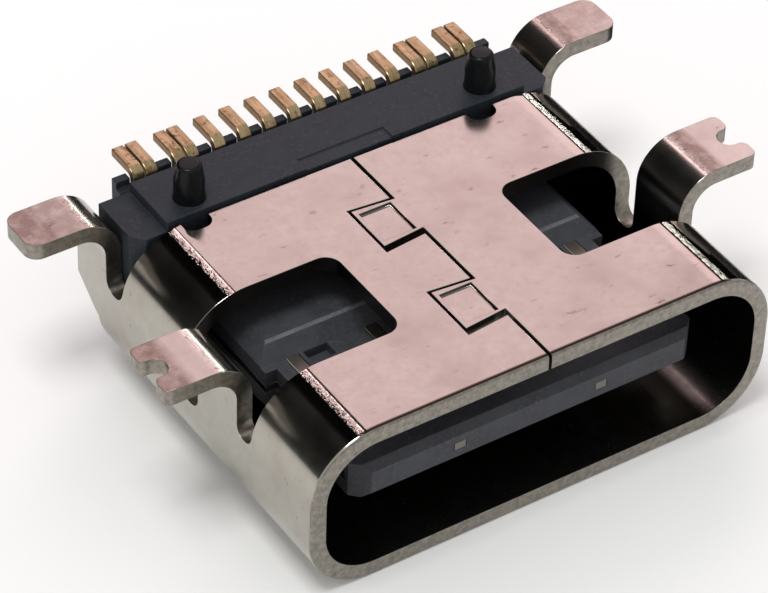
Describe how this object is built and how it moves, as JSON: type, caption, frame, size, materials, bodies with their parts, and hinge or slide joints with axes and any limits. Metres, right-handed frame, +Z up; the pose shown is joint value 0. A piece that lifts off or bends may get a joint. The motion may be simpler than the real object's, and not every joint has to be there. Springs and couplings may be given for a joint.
{
  "type": "usb-c socket",
  "caption": "Board-mount plug socket: folded metal shell with an oval mouth, contact tongue inside, bent solder legs, plastic locating pegs and a row of solder tails.",
  "frame": {"origin": "under the middle of the part, on the face that it lies on", "axes": "+X across the mouth, +Y from the mouth to the solder tails, +Z up towards the board side"},
  "size_m": [0.0116, 0.0078, 0.0039],
  "materials": {
    "shell_metal": "thin nickel plate over stamped steel",
    "black_plastic": "moulded charcoal plastic",
    "plate_steel": "bare stamped steel",
    "contact_metal": "copper alloy with a thin gold flash"
  },
  "bodies": {
    "root": {"shell": "shell_metal", "housing": "black_plastic", "wafer_a": "black_plastic", "wafer_b": "black_plastic", "mid_plate": "plate_steel", "contact_a1": "contact_metal", "contact_a4": "contact_metal", "contact_a5": "contact_metal", "contact_a6": "contact_metal", "contact_a7": "contact_metal", "contact_a8": "contact_metal", "contact_a9": "contact_metal", "contact_a12": "contact_metal", "contact_b1": "contact_metal", "contact_b4": "contact_metal", "contact_b5": "contact_metal", "contact_b6": "contact_metal", "contact_b7": "contact_metal", "contact_b8": "contact_metal", "contact_b9": "contact_metal", "contact_b12": "contact_metal"}
  },
  "joints": []
}
